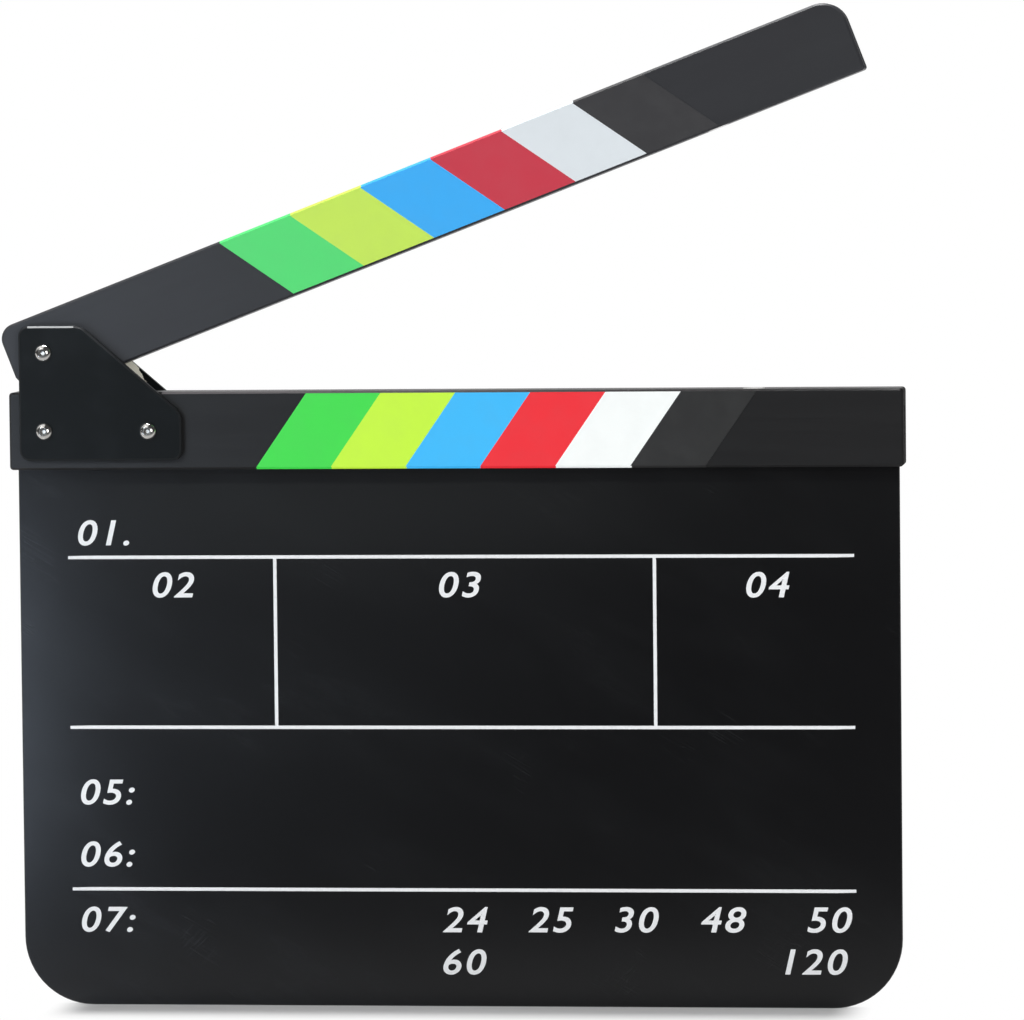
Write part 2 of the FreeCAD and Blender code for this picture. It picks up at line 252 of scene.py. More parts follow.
# Slate: satin black sheet, wiped smears, fine scratches, and a painted sheen in a band below the bar, whose
# clear strip right under the bar is a painted shadow
slateLook = {
    "black": srgb(10, 10, 12),
    "smear": srgb(16, 17, 19),
    "smearShare": 0.55,
    "smearSize": (125, 50, 35),
    "smearLean": 0.5,
    "smearNoise": (1.0, 4.0, 0.6),
    "smearFrom": (0.42, 0.75),
    # the band's lighter colour is a painted sheen; the strip right under the bar, left without it, is a
    # painted shadow
    "hazed": srgb(22, 23, 24),
    "hazeAndSheenNoise": (0.05, 2.0),
    "sheenBelowBar": (4.8, 6.4),  # below the bar, from none to all
    "sheenFade": (50.0, 12.0),  # further below, from none to all
    "sheenAlong": (105.0, 10.0),  # along the slate, from least to all
    "sheenAlongLeast": 0.3,
    "sheenLeftEnd": (-150.0, -95.0),  # at its left side, from none to all
    "scratch": srgb(80, 82, 84),
    "scratchShare": 0.05,
    "scratchCut": 0.6,
    "scratches": (60.0, 1.2, 0.55, 0.42),
    "crossScratches": (45.0, 1.0, -0.8, 0.36),
    "dustShare": 0.04,
    "dustNoise": (0.9, 4.0, 0.65),
    "dustFrom": (0.66, 0.78),
    "edge": srgb(24, 25, 27),
    "edgeFrom": (0.6, 0.3),
    "grainNoise": (6.0, 2.0),
    "grainDepth": 0.000006,
    "roughness": {"base": 0.22, "smear": 0.05, "scratch": 0.03, "grain": 0.04, "edge": 0.35},
    "ior": 1.49,
    "specular": 0.38,
}


def slateFinish(wire):
    # black under smears, then a painted sheen by distance below the bar, kept clear right under the bar as a
    # painted shadow, then scratches and dust, then the cut edge
    look, rough = slateLook, slateLook["roughness"]
    place = inMillimetres(wire)
    along, _, high = axes(place)
    wiped = drawnOut(place, look["smearSize"], look["smearLean"])
    smear = patches(wiped, look["smearNoise"], look["smearFrom"])
    dust = patches(place, look["dustNoise"], look["dustFrom"])
    scratch = hairlines(place, *look["scratches"]) + hairlines(place, *look["crossScratches"])
    cutEdge = ramped(abs(facing(wire)[1]), *look["edgeFrom"])
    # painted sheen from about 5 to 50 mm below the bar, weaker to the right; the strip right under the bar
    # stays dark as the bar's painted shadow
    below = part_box("lower_bar")[0].z / mm - high + noise(place, *look["hazeAndSheenNoise"])
    side = look["sheenAlongLeast"] + (1 - look["sheenAlongLeast"]) * ramped(along, *look["sheenAlong"])
    hazeAndSheenMask = ramped(below, *look["sheenBelowBar"]) * ramped(below, *look["sheenFade"])
    hazeAndSheenMask = hazeAndSheenMask * side * ramped(along, *look["sheenLeftEnd"])
    grain = noise(place, *look["grainNoise"])
    colour = blended(smear * look["smearShare"], look["black"], look["smear"])
    colour = blended(hazeAndSheenMask, colour, look["hazed"])
    colour = blended(scratch * look["scratchShare"] + dust * look["dustShare"], colour, look["scratch"])
    roughness = rough["base"] + smear * rough["smear"] + scratch * rough["scratch"]
    return {
        "Base Color": blended(cutEdge, colour, look["edge"]),
        "Roughness": roughness + grain * rough["grain"] + cutEdge * rough["edge"],
        "IOR": look["ior"],
        "Specular IOR Level": look["specular"],
        "Normal": bumped(grain - scratch * look["scratchCut"], look["grainDepth"]),
    }


dress("slate_board", newFinish("slate_acrylic_finish", slateFinish))

# Stripes: satin film on the front faces, the same six colours on bar and stick, from the hinge outwards. The
# stick's set is dimmer in its brights and paler in its darks: painted shade with a painted sheen.
barFilm = {
    "green": srgb(60, 221, 74),
    "lime": srgb(198, 247, 60),
    "blue": srgb(57, 187, 251),
    "red": srgb(240, 38, 50),
    "white": srgb(246, 250, 249),
    "grey": srgb(38, 38, 38),
}
# the stick's stripes: the bar's colours dimmed and greyed as painted shade and sheen
stickFilmShadeAndSheen = {
    "green": srgb(80, 219, 115),
    "lime": srgb(195, 231, 85),
    "blue": srgb(50, 171, 245),
    "red": srgb(198, 49, 68),
    "white": srgb(219, 226, 231),
    "grey": srgb(51, 50, 52),
}
filmLook = {
    "mottleNoise": (0.12, 4.0, 0.6),
    "mottleFrom": (0.35, 0.75),
    "mottleShare": 0.3,
    "scuffs": (25.0, 0.8, 0.3, 0.42),
    "scuffShare": 0.2,
    "wornGain": 0.9,
    "wornLift": 0.02,
    "peelNoise": (1.6, 2.0),
    "peelDepth": 0.00001,
    "roughness": {"base": 0.42, "mottle": 0.1, "scuff": 0.1},
    "ior": 1.46,
    "specular": 0.35,
}


def filmFinish(wire, colour):
    # the stripe's colour, blended to a worn one in cloudy patches and along scuffs
    look, rough = filmLook, filmLook["roughness"]
    place = inMillimetres(wire)
    mottle = noise(place, *look["mottleNoise"])
    scuff = hairlines(place, *look["scuffs"])
    wear = ramped(mottle, *look["mottleFrom"]) * look["mottleShare"] + scuff * look["scuffShare"]
    return {
        "Base Color": blended(wear, colour, faded(colour, look["wornGain"], look["wornLift"])),
        "Roughness": rough["base"] + mottle * rough["mottle"] + scuff * rough["scuff"],
        "IOR": look["ior"],
        "Specular IOR Level": look["specular"],
        "Normal": bumped(noise(place, *look["peelNoise"]), look["peelDepth"]),
    }


for row, film in (("lower", barFilm), ("upper", stickFilmShadeAndSheen)):
    for colourName, colour in film.items():
        dress(f"{row}_stripe_{colourName}", newFinish(f"{row}_film_{colourName}", filmFinish, colour))
print("slate and stripes finished")

# Bars: satin black paint over wood, faint grain, chipped edges and dull end grain. A painted highlight lies
# along the bar's upper front edge and top, and the stick's paint is a lighter black as a painted sheen.
# The film folds over one long edge of each: the bar's lower one and the stick's upper one.
bars = {
    "bar_paint": {
        "node": "lower_bar",
        "black": srgb(15, 14, 15),
        "hazed": srgb(30, 30, 31),
        "row": "lower",
        "film": barFilm,
        "foldSide": -1.0,
        "turn": 0.0,
        "rubbed": True,
    },
    "stick_paint": {
        "node": "upper_stick",
        # the stick's blacks are lighter than the bar's: a painted sheen
        "black": srgb(41, 41, 45),
        "hazed": srgb(50, 52, 55),
        "row": "upper",
        "film": stickFilmShadeAndSheen,
        "foldSide": 1.0,
        "turn": openAngle,
        "rubbed": False,
    },
}
woodLook = {
    "hazeAndSheenNoise": (0.02, 3.0),
    "hazeFrom": (0.4, 0.7),
    "hazeShare": 0.35,
    "grainSize": (50, 2, 2),
    "grainNoise": (1.0, 4.0, 0.6),
    "grainShare": 0.2,
    "grainDepth": 0.00003,
    "poreNoise": (1.2, 2.0),
    "poreShare": 0.3,
    "endFrom": (0.5, 0.9),
    "chip": srgb(126, 112, 94),
    "chipBand": 0.75,  # depth of the chips from a long edge
    "chipNoise": (0.35, 4.0, 0.7),
    "chipFrom": (0.66, 0.74),
    "chipShare": 0.6,
    # pale grey laid on the bar's upper front bevel and top: a painted highlight
    "rubbed": srgb(118, 114, 116),
    "topEdgeHighlightSpan": (170.0, -90.0),  # along the bar, from none to all
    "topEdgeHighlightEnd": -98.0,  # none of the painted highlight nearer the hinge
    "topEdgeHighlightNoise": (0.15, 4.0, 0.6),
    "topEdgeHighlightFrom": (0.2, 0.6),
    "topShare": 0.45,
    "topSlope": 0.9,
    "bevelSlope": 0.4,
    "foldDepth": 0.9,  # of the film round the edge, from the front
    "foldWithin": 0.01,  # corners this close to the edge are on it
    "roughness": {"base": 0.40, "grain": 0.12, "chip": 0.2, "end": 0.3, "hazeAndSheenMask": -0.05},
    "ior": 1.48,
    "specular": 0.32,
}


def woodFinish(wire, bar):
    # black hazed by noise and grain, then a painted highlight along the bar's top edge, folded film, and
    # chips close to the long edges
    look, rough, turn = woodLook, woodLook["roughness"], bar["turn"]
    place = inMillimetres(wire, tuple(pivot) if turn else (0, 0, 0), turn)
    along, deep, high = axes(place)
    normal = facing(wire)
    heights = nodePoints(bar["node"], turn)[:, 2]
    middle, half = (heights.max() + heights.min()).item() / 2, np.ptp(heights).item() / 2
    grain = noise(drawnOut(place, look["grainSize"]), *look["grainNoise"])
    pores = noise(place, *look["poreNoise"])
    hazeAndSheenMask = patches(place, look["hazeAndSheenNoise"], look["hazeFrom"])
    nearEdge = ramped(abs(high - middle), half - look["chipBand"], half)
    chip = nearEdge * patches(place, look["chipNoise"], look["chipFrom"])
    endGrain = ramped(abs(normal[0] * math.cos(turn) + normal[2] * math.sin(turn)), *look["endFrom"])
    paint = blended(hazeAndSheenMask * look["hazeShare"] + grain * look["grainShare"], bar["black"], bar["hazed"])
    # painted highlight along the bar's top edge
    if bar["rubbed"]:
        paint = blended(topEdgeHighlightShare(place, along, normal), paint, look["rubbed"])
    paint = foldedFilm(paint, bar, along, deep, high)
    roughness = rough["base"] + grain * rough["grain"] + chip * rough["chip"]
    return {
        "Base Color": blended(chip * look["chipShare"], paint, look["chip"]),
        "Roughness": roughness + endGrain * rough["end"] + hazeAndSheenMask * rough["hazeAndSheenMask"],
        "IOR": look["ior"],
        "Specular IOR Level": look["specular"],
        "Normal": bumped(grain + pores * look["poreShare"], look["grainDepth"]),
    }


def topEdgeHighlightShare(place, along, normal):
    # painted highlight: all the upper front bevel and patches of the top, most of all near the hinge
    look = woodLook
    frontBevel = (normal[2] > look["bevelSlope"]) * (normal[1] < -look["bevelSlope"])
    top = (normal[2] > look["topSlope"]) * patches(place, look["topEdgeHighlightNoise"], look["topEdgeHighlightFrom"])
    highlightAmount = frontBevel + top * look["topShare"]
    return highlightAmount * ramped(along, *look["topEdgeHighlightSpan"]) * (along > look["topEdgeHighlightEnd"])


def foldedFilm(paint, bar, along, deep, high):
    # the stripes' colours on one bevel, each from its own stripe's first corner at that edge up to the next
    film, side = bar["film"], bar["foldSide"]
    corners = np.array([nodePoints(f"{bar['row']}_stripe_{name}", bar["turn"]) for name in film])
    edge = (corners[..., 2] * side).max().item()
    edgeX = np.where(corners[..., 2] * side > edge - woodLook["foldWithin"], corners[..., 0], np.nan)
    starts, first, last = np.nanmin(edgeX, axis=1), np.nanmin(edgeX).item(), np.nanmax(edgeX).item()
    stops = list(zip(((starts - first) / (last - first)).tolist(), film.values()))
    share = (along - first) / (last - first)
    colour = along.node("ShaderNodeValToRGB", {"stops": stops}, {"Fac": share}, "Color")
    onBevel = (high * side > edge) * (deep < corners[..., 1].min().item() + woodLook["foldDepth"])
    return blended(onBevel * between(along, first, last), paint, colour)


for finishName, bar in bars.items():
    dress(bar["node"], newFinish(finishName, woodFinish, bar))

# Hinge plates: fine textured black, with painted light: paler rims, a highlight on part of the top bevel,
# and a near-white patch on the inner faces by the hinge gap
plateLook = {
    "black": srgb(11, 14, 15),
    "worn": srgb(25, 29, 31),
    "wornNoise": (0.06, 4.0, 0.6),
    "wornFrom": (0.45, 0.8),
    "wornShare": 0.5,
    "scratches": (18.0, 0.7, 0.7, 0.4),
    "scratchShare": 0.3,
    "scratchCut": 0.5,
    # paler rims: painted light that lifts the plates' side walls out of their shade
    "rim": srgb(46, 48, 50),
    "rimFrom": (0.95, 0.65),
    "rimShare": 0.5,
    # a painted highlight on a stretch of the plates' top bevel
    "edgeHighlight": srgb(150, 152, 153),
    "brightSlope": (0.6, 0.8),
    "brightSpan": (-5.2, 10.4),  # along the plate from the pivot
    "brightNoise": (0.3, 3.0),
    "brightFrom": (0.05, 0.4),
    # near-white patch on the inner faces by the hinge gap: a painted highlight
    "gapHighlight": srgb(250, 246, 230),
    "gapHighlightSlope": 0.5,
    "gapHighlightWay": (0.886, 0.465),  # along and up: the way the band's distance is measured
    "gapHighlightReach": (14.0, 23.2),
    "raggedNoise": (0.6, 3.0),
    "raggedSize": 2.0,
    "textureNoise": (3.0, 3.0, 0.6),
    "textureDepth": 0.00002,
    "roughness": {"base": 0.42, "worn": 0.1, "texture": 0.06},
    "ior": 1.5,
    "specular": 0.10,
}


def plateFinish(wire, inward):
    # worn black, then paler rims as painted light on the side walls, a painted highlight on a stretch of the
    # top bevel, and a painted near-white band inside, where the distance from the pivot, measured along and
    # up, lies within a given reach
    look, rough = plateLook, plateLook["roughness"]
    place = inMillimetres(wire, tuple(pivot))
    along, _, high = axes(place)
    normal = facing(wire)
    texture = noise(place, *look["textureNoise"])
    worn = patches(place, look["wornNoise"], look["wornFrom"])
    scratch = hairlines(place, *look["scratches"])
    rim = ramped(abs(normal[1]), *look["rimFrom"])
    bright = between(normal[2], *look["brightSlope"]) * between(along, *look["brightSpan"])
    bright = bright * patches(place, look["brightNoise"], look["brightFrom"])
    ragged = (noise(place, *look["raggedNoise"]) - 0.5) * look["raggedSize"]
    reach = along * look["gapHighlightWay"][0] + high * look["gapHighlightWay"][1] + ragged
    gapHighlight = (normal[1] * inward > look["gapHighlightSlope"]) * between(reach, *look["gapHighlightReach"])
    colour = blended(worn * look["wornShare"] + scratch * look["scratchShare"], look["black"], look["worn"])
    colour = blended(rim * look["rimShare"], colour, look["rim"])
    colour = blended(bright, colour, look["edgeHighlight"])
    return {
        "Base Color": blended(gapHighlight, colour, look["gapHighlight"]),
        "Roughness": rough["base"] + worn * rough["worn"] + texture * rough["texture"],
        "IOR": look["ior"],
        "Specular IOR Level": look["specular"],
        "Normal": bumped(texture - scratch * look["scratchCut"], look["textureDepth"]),
    }


dress("front_hinge_plate", newFinish("front_plate_paint", plateFinish, 1.0))
dress("rear_hinge_plate", newFinish("rear_plate_paint", plateFinish, -1.0))
print("bars and plates finished")

# Screws, washers, nuts, magnets and bush: plated or turned metal, with painted shade in the screws' sockets
fastenerPlaces = ("pivot", "left_fixing", "right_fixing")
metals = {
    "screw": {"colour": srgb(226, 224, 220), "roughness": 0.10, "socketStart": 0.55},
    "washer": {"colour": srgb(198, 202, 208), "roughness": 0.30},
    "lock_nut": {"colour": srgb(198, 202, 208), "roughness": 0.30},
    "magnet": {"colour": srgb(226, 224, 220), "roughness": 0.20},
    "bush": {"colour": srgb(214, 178, 104), "roughness": 0.28},
}
metalLook = {
    "ringPitch": 0.22,
    "ringDepth": 0.000002,
    "tarnishNoise": (0.7, 4.0, 0.6),
    "tarnishFrom": (0.45, 0.8),
    "tarnishShare": 0.15,
    "tarnishRough": 0.12,
    # dark colour laid in the screws' sockets: painted shade
    "socketShade": srgb(58, 54, 50),
    "socketShadeShare": 0.85,
    "socketRough": 0.35,
    "socketDepth": 0.4,
    "socketRadius": (1.25, 0.9),  # from outside it to inside
    "cornerRadius": (0.45, 0.8),  # from its middle to its corner
    "noSocket": 1000.0,  # deeper than any piece
}


def metalFinish(wire, metal, centre):
    # fine rings about the Y axis through centre, tarnish in patches, and painted shade in the corner of a
    # socket
    look = metalLook
    place = inMillimetres(wire, centre)
    along, deep, high = axes(place)
    radius = wire.maths("SQRT", along * along + high * high)
    rings = wire.maths("SINE", radius * (2 * math.pi / look["ringPitch"]))
    tarnish = patches(place, look["tarnishNoise"], look["tarnishFrom"])
    start = metal.get("socketStart", look["noSocket"])
    sunk = ramped(deep, start, start + look["socketDepth"]) * ramped(radius, *look["socketRadius"])
    # painted shade at the walls of a socket, where it sits deep
    corner = sunk * ramped(radius, *look["cornerRadius"])
    tarnishAndShade = corner * look["socketShadeShare"] + tarnish * look["tarnishShare"]
    return {
        "Base Color": blended(tarnishAndShade, metal["colour"], look["socketShade"]),
        "Metallic": 1.0,
        "Roughness": metal["roughness"] + tarnish * look["tarnishRough"] + sunk * look["socketRough"],
        "Normal": bumped(rings, look["ringDepth"]),
    }


for place in fastenerPlaces:
    headTip = axisPoint(f"{place}_screw", 0.0)
    for kind in ("screw", "washer", "lock_nut"):
        finish = newFinish(f"{place}_{kind}_plate", metalFinish, metals[kind], headTip)
        dress(f"{place}_{kind}", finish)
for nodeName in ("lower_magnet", "upper_magnet"):
    dress(nodeName, newFinish(f"{nodeName}_plate", metalFinish, metals["magnet"], axisPoint(nodeName, 0.5)))
dress("pivot_bush", newFinish("bush_brass", metalFinish, metals["bush"], tuple(pivot)))

# Nylon: the friction washers, and a low rounded ring in each lock nut, turned about its screw's axis
nylonLook = {
    "natural": srgb(226, 222, 206),
    "insert": srgb(236, 236, 228),
    "soiling": 0.8,
    "cloudNoise": (0.8, 3.0),
    "cloudShare": 0.6,
    "grainNoise": (5.0, 3.0),
    "grainDepth": 0.000008,
    "roughness": {"base": 0.4, "cloud": 0.15},
}
insertSize = {"inner": 1.56, "outer": 2.04, "proud": 0.09, "sides": 48, "steps": 10}


def nylonFinish(wire, colour):
    # the nylon's colour, blended to a soiled one by a noise
    look, rough = nylonLook, nylonLook["roughness"]
    place = inMillimetres(wire)
    cloud = noise(place, *look["cloudNoise"])
    return {
        "Base Color": blended(cloud * look["cloudShare"], colour, faded(colour, look["soiling"])),
        "Roughness": rough["base"] + cloud * rough["cloud"],
        "Normal": bumped(noise(place, *look["grainNoise"]), look["grainDepth"]),
    }


def ringGrid(centre, size):
    # turned ring: radius r0 + a cos t and depth y0 + b sin t, for t round the section and u round the axis
    t = np.linspace(0, 2 * math.pi, size["steps"], endpoint=False)
    u = np.linspace(0, 2 * math.pi, size["sides"], endpoint=False)
    turnAngle, sectionAngle = np.meshgrid(u, t, indexing="ij")
    radius = (size["outer"] + size["inner"]) / 2 + (size["outer"] - size["inner"]) / 2 * np.cos(sectionAngle)
    depth = size["proud"] * np.sin(sectionAngle)
    grid = np.stack([radius * np.cos(turnAngle), depth, radius * np.sin(turnAngle)], axis=-1)
    return grid.reshape(-1, 3) * mm + np.array(centre)


def wrappedFaces(sides, steps):
    # quads of a grid that closes on itself both ways
    i, j = np.meshgrid(np.arange(sides), np.arange(steps), indexing="ij")
    nextI, nextJ = (i + 1) % sides, (j + 1) % steps
    quads = np.stack([i * steps + j, i * steps + nextJ, nextI * steps + nextJ, nextI * steps + j], axis=-1)
    return quads.reshape(-1, 4).tolist()


for nodeName in ("front_friction_washer", "rear_friction_washer"):
    dress(nodeName, newFinish(f"{nodeName}_nylon", nylonFinish, nylonLook["natural"]))
insertNylon = newFinish("nut_insert_nylon", nylonFinish, nylonLook["insert"])
insertFaces = wrappedFaces(insertSize["sides"], insertSize["steps"])
for place in fastenerPlaces:
    nutBack = axisPoint(f"{place}_lock_nut", 1.0)
    newPiece(f"{place}_nut_insert", ringGrid(nutBack, insertSize), insertFaces, insertNylon, "board")
print("metal and nylon finished")

# Printed rules: low beads of white ink on the slate's front
inkFace = np.array((0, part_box("slate_board")[0].y, 0))
inkLook = {
    "white": srgb(232, 234, 236),
    "thin": srgb(196, 199, 203),
    "thinNoise": (0.5, 4.0, 0.65),
    "thinFrom": (0.55, 0.85),
    "thinShare": 0.6,
    "grainNoise": (4.0, 2.0),
    "grainDepth": 0.000006,
    "roughness": {"base": 0.45, "thin": 0.12},
}
ruleSize = {
    "left": -131.7,
    "right": 133.0,
    "heights": (151.2, 93.9, 39.2),
    "uprights": (-61.4, 66.4),
    "width": 1.15,
    "thickness": 0.05,
    "sunk": 0.02,  # depth of the ink's back in the slate
    "steps": (41, 9),  # points along and across
    "endPower": 60,
    "sidePower": 6,
}


def inkFinish(wire):
    # white ink, blended to a greyer one in patches where it is thin
    look, rough = inkLook, inkLook["roughness"]
    place = inMillimetres(wire)
    thin = patches(place, look["thinNoise"], look["thinFrom"])
    return {
        "Base Color": blended(thin * look["thinShare"], look["white"], look["thin"]),
        "Roughness": rough["base"] + thin * rough["thin"],
        "Normal": bumped(noise(place, *look["grainNoise"]), look["grainDepth"]),
    }


def ruleGrid(start, end, size):
    # ink bead: height t (1 - v^sidePower)(1 - u^endPower) over a strip, with u along it and v across it,
    # both from -1 to 1, and a flat back sunk in the slate
    u, v = np.meshgrid(*(np.linspace(-1, 1, count) for count in size["steps"]), indexing="ij")
    ends = np.array([start, end])
    reach = (ends[1] - ends[0]) / 2
    way = reach / np.linalg.norm(reach)
    side = np.array([-way[1], way[0]]) * size["width"] / 2
    flat = ends.mean(axis=0) + u[..., None] * reach + v[..., None] * side
    bead = size["thickness"] * (1 - v ** size["sidePower"]) * (1 - u ** size["endPower"])
    front = np.stack([flat[..., 0], -bead, flat[..., 1]], axis=-1)
    back = np.stack([flat[..., 0], np.full(u.shape, size["sunk"]), flat[..., 1]], axis=-1)
    return front, back


def closedFaces(rows, columns, start):
    # quads of a front grid, of the back grid that follows it, and of the rim between their borders
    index = np.arange(rows * columns).reshape(rows, columns)
    a, b, c, d = index[:-1, :-1], index[1:, :-1], index[1:, 1:], index[:-1, 1:]
    front = np.stack([a, b, c, d], axis=-1).reshape(-1, 4)
    back = front[:, ::-1] + rows * columns
    rim = np.concatenate([index[0, :], index[1:, -1], index[-1, -2::-1], index[-2:0:-1, 0]])
    after = np.roll(rim, -1)
    wall = np.stack([rim, after, after + rows * columns, rim + rows * columns], axis=-1)
    return (np.concatenate([front, back, wall]) + start).tolist()


rulePaths = [((ruleSize["left"], z), (ruleSize["right"], z)) for z in ruleSize["heights"]]
rulePaths += [((x, ruleSize["heights"][1]), (x, ruleSize["heights"][0])) for x in ruleSize["uprights"]]
rulePoints, ruleFaces = [], []
for start, end in rulePaths:
    grids = ruleGrid(start, end, ruleSize)
    ruleFaces += closedFaces(*ruleSize["steps"], sum(len(points) for points in rulePoints))
    rulePoints += [grid.reshape(-1, 3) for grid in grids]
ink = newFinish("printed_ink", inkFinish)
rulePlaces = np.concatenate(rulePoints) * mm + inkFace
newPiece("printed_rules", rulePlaces, ruleFaces, ink, "board")

# Printed numbers: plain field numbers and frame rates, leaning and heavy, at (left, baseline) on the slate
numberSize = {
    "height": 8.4,
    "stretch": 1.15,
    "lean": 0.2,
    "weight": 0.012,
    "spacing": 1.15,
    "thickness": 0.05,
    "curveSteps": 6,
    "joinWithin": 0.001,
}
numbers = {
    "heading": ("01.", -128.2, 155.4),
    "firstBox": ("02", -103.0, 137.8),
    "secondBox": ("03", -6.0, 137.7),
    "thirdBox": ("04", 97.0, 137.5),
    "firstRow": ("05:", -128.4, 67.9),
    "secondRow": ("06:", -128.6, 46.9),
    "thirdRow": ("07:", -128.7, 24.8),
    "rateA": ("24", -5.9, 25.1),
    "rateB": ("25", 23.0, 25.2),
    "rateC": ("30", 52.0, 25.3),
    "rateD": ("48", 81.0, 25.4),
    "rateE": ("50", 116.5, 25.5),
    "rateF": ("60", -5.9, 10.9),
    "rateG": ("120", 109.0, 11.4),
}


def numberMesh(text, size):
    # flat figures made a thin closed mesh, x along the line, y up and z through the ink: points and faces
    curve = bpy.data.curves.new("number", "FONT")
    curve.body = text
    curve.size = 1.0
    curve.shear = size["lean"]
    curve.offset = size["weight"]
    curve.space_character = size["spacing"]
    curve.extrude = size["thickness"] / 2
    curve.resolution_u = size["curveSteps"]
    holder = bpy.data.objects.new("number", curve)
    scene.collection.objects.link(holder)
    bpy.context.view_layer.update()
    made = bpy.data.meshes.new_from_object(holder.evaluated_get(bpy.context.evaluated_depsgraph_get()))
    bpy.data.objects.remove(holder)
    joined = bmesh.new()
    joined.from_mesh(made)
    bmesh.ops.remove_doubles(joined, verts=joined.verts, dist=size["joinWithin"])
    bmesh.ops.recalc_face_normals(joined, faces=joined.faces)
    joined.to_mesh(made)
    joined.free()
    points = np.empty(len(made.vertices) * 3)
    made.vertices.foreach_get("co", points)
    corners = np.empty(len(made.loops), dtype=np.int32)
    made.loops.foreach_get("vertex_index", corners)
    counts = np.empty(len(made.polygons), dtype=np.int32)
    made.polygons.foreach_get("loop_total", counts)
    return points.reshape(-1, 3), np.split(corners, np.cumsum(counts)[:-1])


numberPoints, numberFaces = [], []
digitTop = numberMesh("0", numberSize)[0][:, 1].max()
scale = numberSize["height"] / digitTop
for text, left, baseline in numbers.values():
    flat, faces = numberMesh(text, numberSize)
    done = sum(len(points) for points in numberPoints)
    x = (flat[:, 0] - flat[:, 0].min()) * scale * numberSize["stretch"] + left
    y = -flat[:, 2] - numberSize["thickness"] / 2 + ruleSize["sunk"]
    numberPoints.append(np.stack([x, y, flat[:, 1] * scale + baseline], axis=-1))
    numberFaces += [(face + done).tolist() for face in faces]
numberPlaces = np.concatenate(numberPoints) * mm + inkFace
newPiece("printed_numbers", numberPlaces, numberFaces, ink, "board")
print("print finished:", len(numberFaces), "number faces")

# Stage: pale floor that keeps the shadow, white all round for the camera, and a dim studio in front
stageLook = {
    "reach": 6.0,
    "pale": (0.75, 0.75, 0.75, 1.0),
    "shade": (0.7, 0.7, 0.7, 1.0),
    "glow": 0.06,
    "shadowSide": (0.123, 0.139),
    "shadowFront": (0.012, 0.044),
    "dim": (0.08, 0.08, 0.08, 1.0),
    "dimNear": (0.0, -0.04),  # in front of the board, from none to all
    "dimFar": (-0.08, -0.27),
    "nearShare": 0.42,
}


def rayKinds(wire):
    # 1 for camera rays, and 1 for rays that are mirrored or let through
    camera = wire.node("ShaderNodeLightPath", None, None, "Is Camera Ray")
    outputs = camera.socket.node.outputs
    glossy = Wire(wire.tree, outputs["Is Glossy Ray"])
    through = Wire(wire.tree, outputs["Is Transmission Ray"])
    return camera, wire.maths("MAXIMUM", glossy, through)


def floorMaterial():
    # pale and matt for the light. Seen, it is matt in a strip at the slate's foot, for the shadow, and white
    # beyond it. Mirrored, it also goes dim towards the front, in a near step and a far one.
    material = bpy.data.materials.new("pale_floor")
    material.use_nodes = True
    tree = material.node_tree
    tree.nodes.remove(tree.nodes["Principled BSDF"])
    wire = Wire(tree)
    cameraRay, mirrored = rayKinds(wire)
    along, deep, _ = axes(wire.node("ShaderNodeTexCoord", None, None, "Object"))
    besides = ramped(abs(along), *stageLook["shadowSide"])
    before = ramped(abs(deep), *stageLook["shadowFront"])
    far = 1 - (1 - besides) * (1 - before)
    pale = wire.node("ShaderNodeBsdfDiffuse", None, {"Color": stageLook["pale"]})
    dim = wire.node("ShaderNodeBsdfDiffuse", None, {"Color": stageLook["dim"]})
    shade = wire.node("ShaderNodeBsdfDiffuse", None, {"Color": stageLook["shade"]})
    glow = wire.node("ShaderNodeEmission", None, {"Strength": stageLook["glow"]})
    white = wire.node("ShaderNodeEmission", None, {"Strength": 1.0})
    near = wire.node("ShaderNodeAddShader", None, {0: shade, 1: glow})
    seen = wire.node("ShaderNodeMixShader", None, {0: far, 1: near, 2: white})
    nearDim = ramped(deep, *stageLook["dimNear"]) * stageLook["nearShare"]
    farDim = ramped(deep, *stageLook["dimFar"]) * (1 - stageLook["nearShare"])
    inFront = mirrored * (nearDim + farDim)
    seen = wire.node("ShaderNodeMixShader", None, {0: inFront, 1: seen, 2: dim})
    anySeen = wire.maths("MAXIMUM", cameraRay, mirrored)
    surface = wire.node("ShaderNodeMixShader", None, {0: anySeen, 1: pale, 2: seen})
    wire.fill(tree.nodes["Material Output"], {"Surface": surface})
    return material


reach = stageLook["reach"]
floorMesh = bpy.data.meshes.new("floor")
floorCorners = [(-reach, -reach, 0), (reach, -reach, 0), (reach, reach, 0), (-reach, reach, 0)]
floorMesh.from_pydata(floorCorners, [], [(0, 1, 2, 3)])
floorMesh.materials.append(floorMaterial())
floor = bpy.data.objects.new("floor", floorMesh)
scene.collection.objects.link(floor)

# World: white for the camera, an even level for the light, and for mirrors dim, except behind and above
# on the left
worldLook = {
    "ambient": 0.32,
    "frontDim": 0.06,
    "rise": 0.8,
    "behindFrom": (0.1, 0.6),
    "leftFrom": (0.16, 0.0),
}
world = bpy.data.worlds.new("studio")
scene.world = world
world.use_nodes = True
worldWire = Wire(world.node_tree)
cameraRay, mirrored = rayKinds(worldWire)
direction = axes(worldWire.node("ShaderNodeTexCoord", None, None, "Generated"))
behind = ramped(direction[1] + direction[2] * worldLook["rise"], *worldLook["behindFrom"])
behind = behind * ramped(direction[0], *worldLook["leftFrom"])
mirroredLevel = worldLook["frontDim"] + behind * (1 - worldLook["frontDim"])
unseen = (1 - cameraRay) * (1 - mirrored)
level = cameraRay + mirrored * mirroredLevel + unseen * worldLook["ambient"]
worldWire.fill(world.node_tree.nodes["Background"], {"Color": (1, 1, 1, 1), "Strength": level})

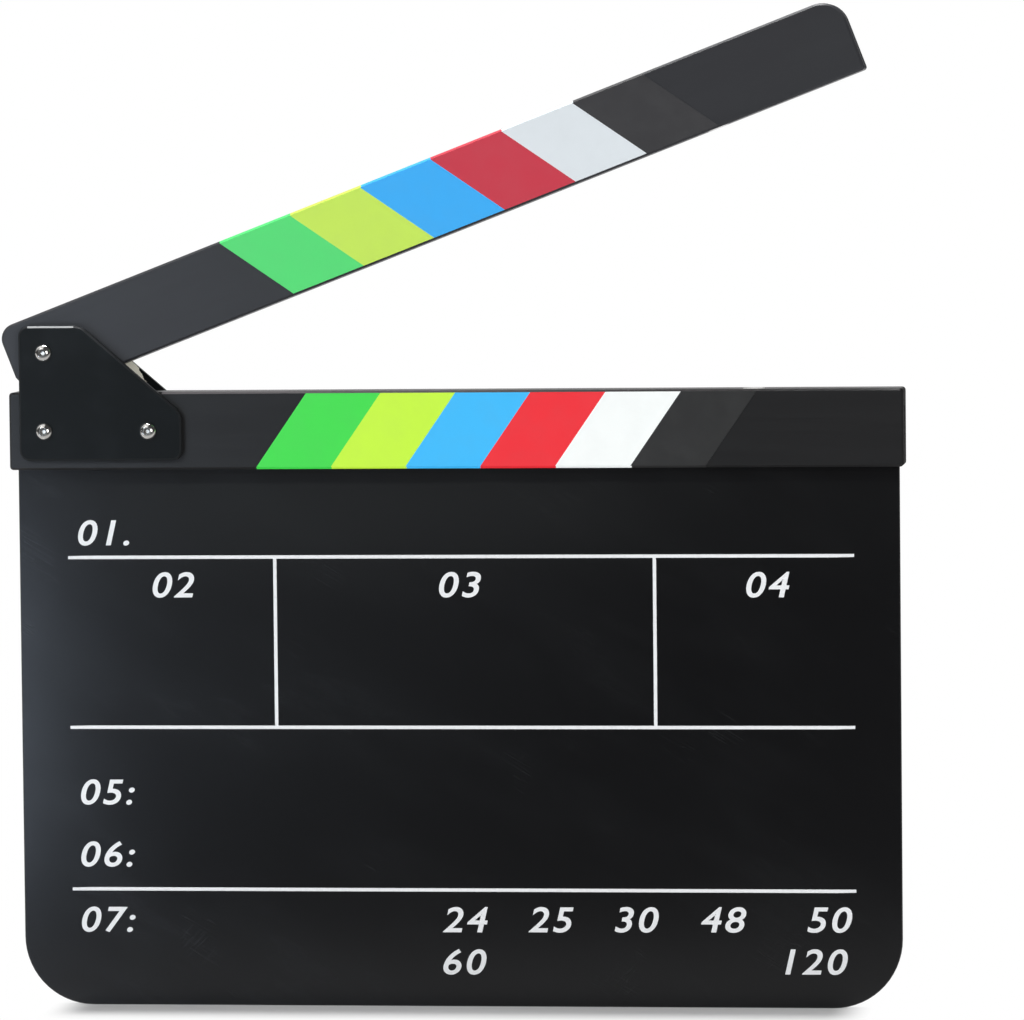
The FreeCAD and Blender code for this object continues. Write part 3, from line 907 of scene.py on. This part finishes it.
# Light: a panel high on the left, a lower one on the right, a strip overhead, and pale cards near the
# front that light nothing and are only mirrored
panels = {
    "keyPanel": {"place": (-0.75, -1.15, 1.35), "aim": (-0.03, 0, 0.14), "size": (1.2, 1.2), "watts": 5.5},
    "fillPanel": {"place": (0.9, -1.35, 0.42), "aim": (0, 0, 0.16), "size": (0.9, 0.9), "watts": 12.1},
    "topPanel": {"place": (-0.05, 0.09, 1.25), "aim": (-0.03, 0, 0.05), "size": (0.45, 0.10), "watts": 15.0},
}
cards = {
    "leftCard": {"place": (-0.325, -0.27, 0.068), "aim": (-0.12, 0, 0.068), "size": (0.23, 0.145),
                 "watts": 0.95, "colour": (0.70, 0.82, 1.0)},
    "upperCard": {"place": (-0.46, -0.50, 0.46), "aim": (-0.10, 0, 0.26), "size": (0.30, 0.25),
                  "watts": 4.4, "colour": (0.80, 0.91, 1.0)},
    "middleCard": {"place": (-0.10, -0.55, 0.165), "aim": (-0.06, 0, 0.17), "size": (0.22, 0.11),
                   "watts": 0.014, "colour": (0.90, 0.95, 1.0)},
    "lowerCard": {"place": (-0.17, -0.55, 0.045), "aim": (-0.07, 0, 0.09), "size": (0.22, 0.26),
                  "watts": 0.036, "colour": (0.85, 0.93, 1.0)},
}
for name, panel in {**panels, **cards}.items():
    lamp = bpy.data.lights.new(name, "AREA")
    lamp.shape = "RECTANGLE"
    lamp.size, lamp.size_y = panel["size"]
    lamp.energy = panel["watts"]
    lamp.color = panel.get("colour", (1, 1, 1))
    holder = bpy.data.objects.new(name, lamp)
    holder.location = panel["place"]
    aim = Vector(panel["aim"]) - holder.location
    holder.rotation_euler = aim.to_track_quat("-Z", "Y").to_euler()
    holder.visible_camera = False
    holder.visible_diffuse = name in panels
    scene.collection.objects.link(holder)

# Camera: place and turns in the part's frame, lens as focal length in pixels of a 1024 wide picture
cameraSet = {
    "place": (0.278, -2.2075, 0.2983),
    "yaw": -6.70,
    "pitch": 3.39,
    "roll": -0.58,
    "focalPixels": 6668.4,
    "pictureWidth": 1024,
    "sensor": 36.0,
}
yaw, pitch, roll = (math.radians(cameraSet[name]) for name in ("yaw", "pitch", "roll"))
forward = Vector((math.sin(yaw) * math.cos(pitch), math.cos(yaw) * math.cos(pitch), -math.sin(pitch)))
rightway = forward.cross(Vector((0, 0, 1))).normalized()
upward = rightway.cross(forward)
rolledRight = rightway * math.cos(roll) + upward * math.sin(roll)
rolledUp = upward * math.cos(roll) - rightway * math.sin(roll)
cameraData = bpy.data.cameras.new("camera")
cameraData.sensor_width = cameraSet["sensor"]
cameraData.lens = cameraSet["focalPixels"] * cameraSet["sensor"] / cameraSet["pictureWidth"]
camera = bpy.data.objects.new("camera", cameraData)
turned = Matrix((rolledRight, rolledUp, -forward)).transposed().to_4x4()
camera.matrix_world = Matrix.Translation(cameraSet["place"]) @ turned
scene.collection.objects.link(camera)
scene.camera = camera
print("stage, light and camera set")
